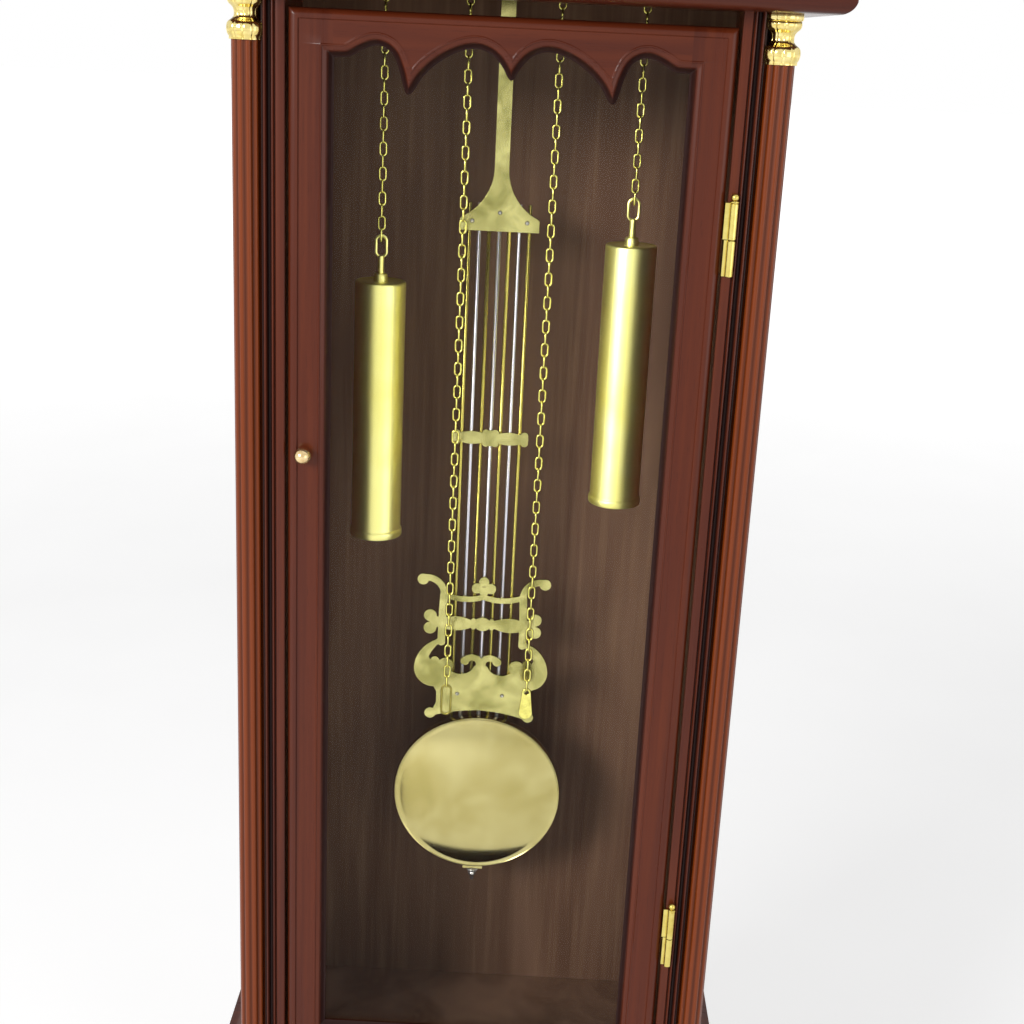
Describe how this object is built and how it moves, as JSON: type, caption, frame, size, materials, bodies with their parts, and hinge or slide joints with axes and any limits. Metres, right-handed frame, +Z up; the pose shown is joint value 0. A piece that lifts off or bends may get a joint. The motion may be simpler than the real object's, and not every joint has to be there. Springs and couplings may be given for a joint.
{
  "type": "longcase clock",
  "caption": "Tall wooden longcase clock with a glazed trunk door, brass weights on chains, a lyre gridiron pendulum and an arched hood with a dial.",
  "frame": {"origin": "on the floor, under the middle of the case's box", "axes": "+Z up, +Y to the back of the case, +X to the right when facing the clock"},
  "size_m": [0.54, 0.28, 1.941],
  "materials": {
    "stained_wood": "satin lacquer over reddish brown stain",
    "inside_wood": "dark stain, unpolished",
    "clear_glass": "clear",
    "polished_brass": "polished and lacquered",
    "rod_brass": "drawn, bright",
    "dial_brass": "brushed",
    "silvered_ring": "silvered, matt",
    "blued_steel": "black, satin",
    "bright_steel": "bright",
    "gong_steel": "tempered"
  },
  "bodies": {
    "root": {"base_front_panel": "stained_wood", "base_sides": "stained_wood", "base_floor": "inside_wood", "base_skirt": "stained_wood", "waist_moulding": "stained_wood", "case_floor": "inside_wood", "trunk_side_right": "stained_wood", "trunk_side_left": "stained_wood", "back_panel": "inside_wood", "trunk_bottom_rail": "stained_wood", "stile_right": "stained_wood", "stile_left": "stained_wood", "column_right": "stained_wood", "column_left": "stained_wood", "trunk_column_caps": "polished_brass", "hinge_case_leaves": "polished_brass", "dial_plate": "dial_brass", "chapter_ring": "silvered_ring", "movement_frame": "polished_brass", "seat_board": "inside_wood", "suspension_cock": "polished_brass", "gong_rods": "gong_steel"},
    "hood": {"hood_ledge": "stained_wood", "hood_sides": "stained_wood", "hood_front": "stained_wood", "hood_roof": "inside_wood", "hood_cornice": "stained_wood", "hood_columns": "stained_wood", "hood_column_caps": "polished_brass", "hood_door_pins": "bright_steel"},
    "trunk_door": {"door_stile_right": "stained_wood", "door_stile_left": "stained_wood", "door_bottom_rail": "stained_wood", "door_top_rail": "stained_wood", "door_glass": "clear_glass", "door_knob": "polished_brass", "hinge_door_leaves": "polished_brass"},
    "hood_door": {"hood_door_frame": "stained_wood", "hood_door_glass": "clear_glass", "hood_door_knob": "polished_brass"},
    "hour_hand": {"hour_hand": "blued_steel"},
    "minute_hand": {"minute_hand": "blued_steel"},
    "left_wheel": {"left_chain_wheel": "polished_brass"},
    "right_wheel": {"right_chain_wheel": "polished_brass"},
    "escape_wheel": {"escape_wheel": "bright_steel"},
    "pallets": {"pallets_and_crutch": "bright_steel"},
    "left_weight": {"left_weight": "polished_brass", "left_chain_weight_side": "polished_brass"},
    "right_weight": {"right_weight": "polished_brass", "right_chain_weight_side": "polished_brass"},
    "left_chain": {"left_chain_free_side": "polished_brass", "left_chain_end": "polished_brass"},
    "right_chain": {"right_chain_free_side": "polished_brass", "right_chain_end": "polished_brass"},
    "pendulum": {"pendulum_stem": "polished_brass", "pendulum_rods": "rod_brass", "pendulum_clip": "polished_brass", "pendulum_lyre": "polished_brass"},
    "bob": {"pendulum_bob": "polished_brass"},
    "rating_nut": {"rating_nut": "polished_brass"}
  },
  "joints": [
    {"name": "hood_slide", "type": "slide", "parent": "root", "child": "hood", "axis": [0, -1, 0], "range_m": [0, 0.3]},
    {"name": "trunk_door_hinge", "type": "hinge", "parent": "root", "child": "trunk_door", "pos_m": [0.181, -0.0867, 0.9395], "axis": [0, 0, 1], "range_deg": [0, 110]},
    {"name": "hood_door_hinge", "type": "hinge", "parent": "hood", "child": "hood_door", "pos_m": [0.1614, -0.0943, 1.63], "axis": [0, 0, 1], "range_deg": [0, 90]},
    {"name": "minute_hand_turn", "type": "hinge", "parent": "root", "child": "minute_hand", "pos_m": [0, -0.075, 1.627], "axis": [0, 1, 0], "continuous": true},
    {"name": "hour_hand_turn", "type": "hinge", "parent": "root", "child": "hour_hand", "pos_m": [0, -0.071, 1.627], "axis": [0, 1, 0], "continuous": true},
    {"name": "escape_wheel_turn", "type": "hinge", "parent": "root", "child": "escape_wheel", "pos_m": [-0.0075, 0, 1.65], "axis": [0, 1, 0], "continuous": true},
    {"name": "pendulum_swing", "type": "hinge", "parent": "root", "child": "pendulum", "pos_m": [-0.0075, 0.057, 1.674], "axis": [0, 1, 0], "range_deg": [-3.5, 3.5]},
    {"name": "pallet_rock", "type": "hinge", "parent": "root", "child": "pallets", "pos_m": [-0.0075, 0, 1.674], "axis": [0, 1, 0], "range_deg": [-4, 4]},
    {"name": "nut_turn", "type": "hinge", "parent": "bob", "child": "rating_nut", "pos_m": [-0.0075, 0.0606, 0.588], "axis": [0, 0, 1], "range_deg": [-722, 722]},
    {"name": "bob_rise", "type": "slide", "parent": "pendulum", "child": "bob", "axis": [0, 0, 1], "range_m": [-0.002, 0.002]},
    {"name": "left_weight_fall", "type": "slide", "parent": "root", "child": "left_weight", "axis": [0, 0, 1], "range_m": [-0.45, 0.25], "deforming": ["left_chain_weight_side"]},
    {"name": "right_weight_fall", "type": "slide", "parent": "root", "child": "right_weight", "axis": [0, 0, 1], "range_m": [-0.45, 0.22], "deforming": ["right_chain_weight_side"]},
    {"name": "left_chain_rise", "type": "slide", "parent": "root", "child": "left_chain", "axis": [0, 0, 1], "range_m": [-0.25, 0.45], "deforming": ["left_chain_free_side"]},
    {"name": "right_chain_rise", "type": "slide", "parent": "root", "child": "right_chain", "axis": [0, 0, 1], "range_m": [-0.22, 0.45], "deforming": ["right_chain_free_side"]},
    {"name": "left_wheel_turn", "type": "hinge", "parent": "root", "child": "left_wheel", "pos_m": [-0.073, 0.012, 1.638], "axis": [0, 1, 0], "range_deg": [-740, 411]},
    {"name": "right_wheel_turn", "type": "hinge", "parent": "root", "child": "right_wheel", "pos_m": [0.073, 0.012, 1.638], "axis": [0, 1, 0], "range_deg": [-362, 740]}
  ],
  "couplings": [
    {"joint": "hour_hand_turn", "follows": "minute_hand_turn", "ratio": 0.083333},
    {"joint": "escape_wheel_turn", "follows": "minute_hand_turn", "ratio": 60},
    {"joint": "pallet_rock", "follows": "pendulum_swing", "ratio": 1},
    {"joint": "nut_turn", "follows": "bob_rise", "rad_per_m": 6283.2},
    {"joint": "left_chain_rise", "follows": "left_weight_fall", "ratio": -1},
    {"joint": "right_chain_rise", "follows": "right_weight_fall", "ratio": -1},
    {"joint": "left_wheel_turn", "follows": "left_weight_fall", "rad_per_m": 28.571},
    {"joint": "right_wheel_turn", "follows": "right_weight_fall", "rad_per_m": -28.571}
  ]
}
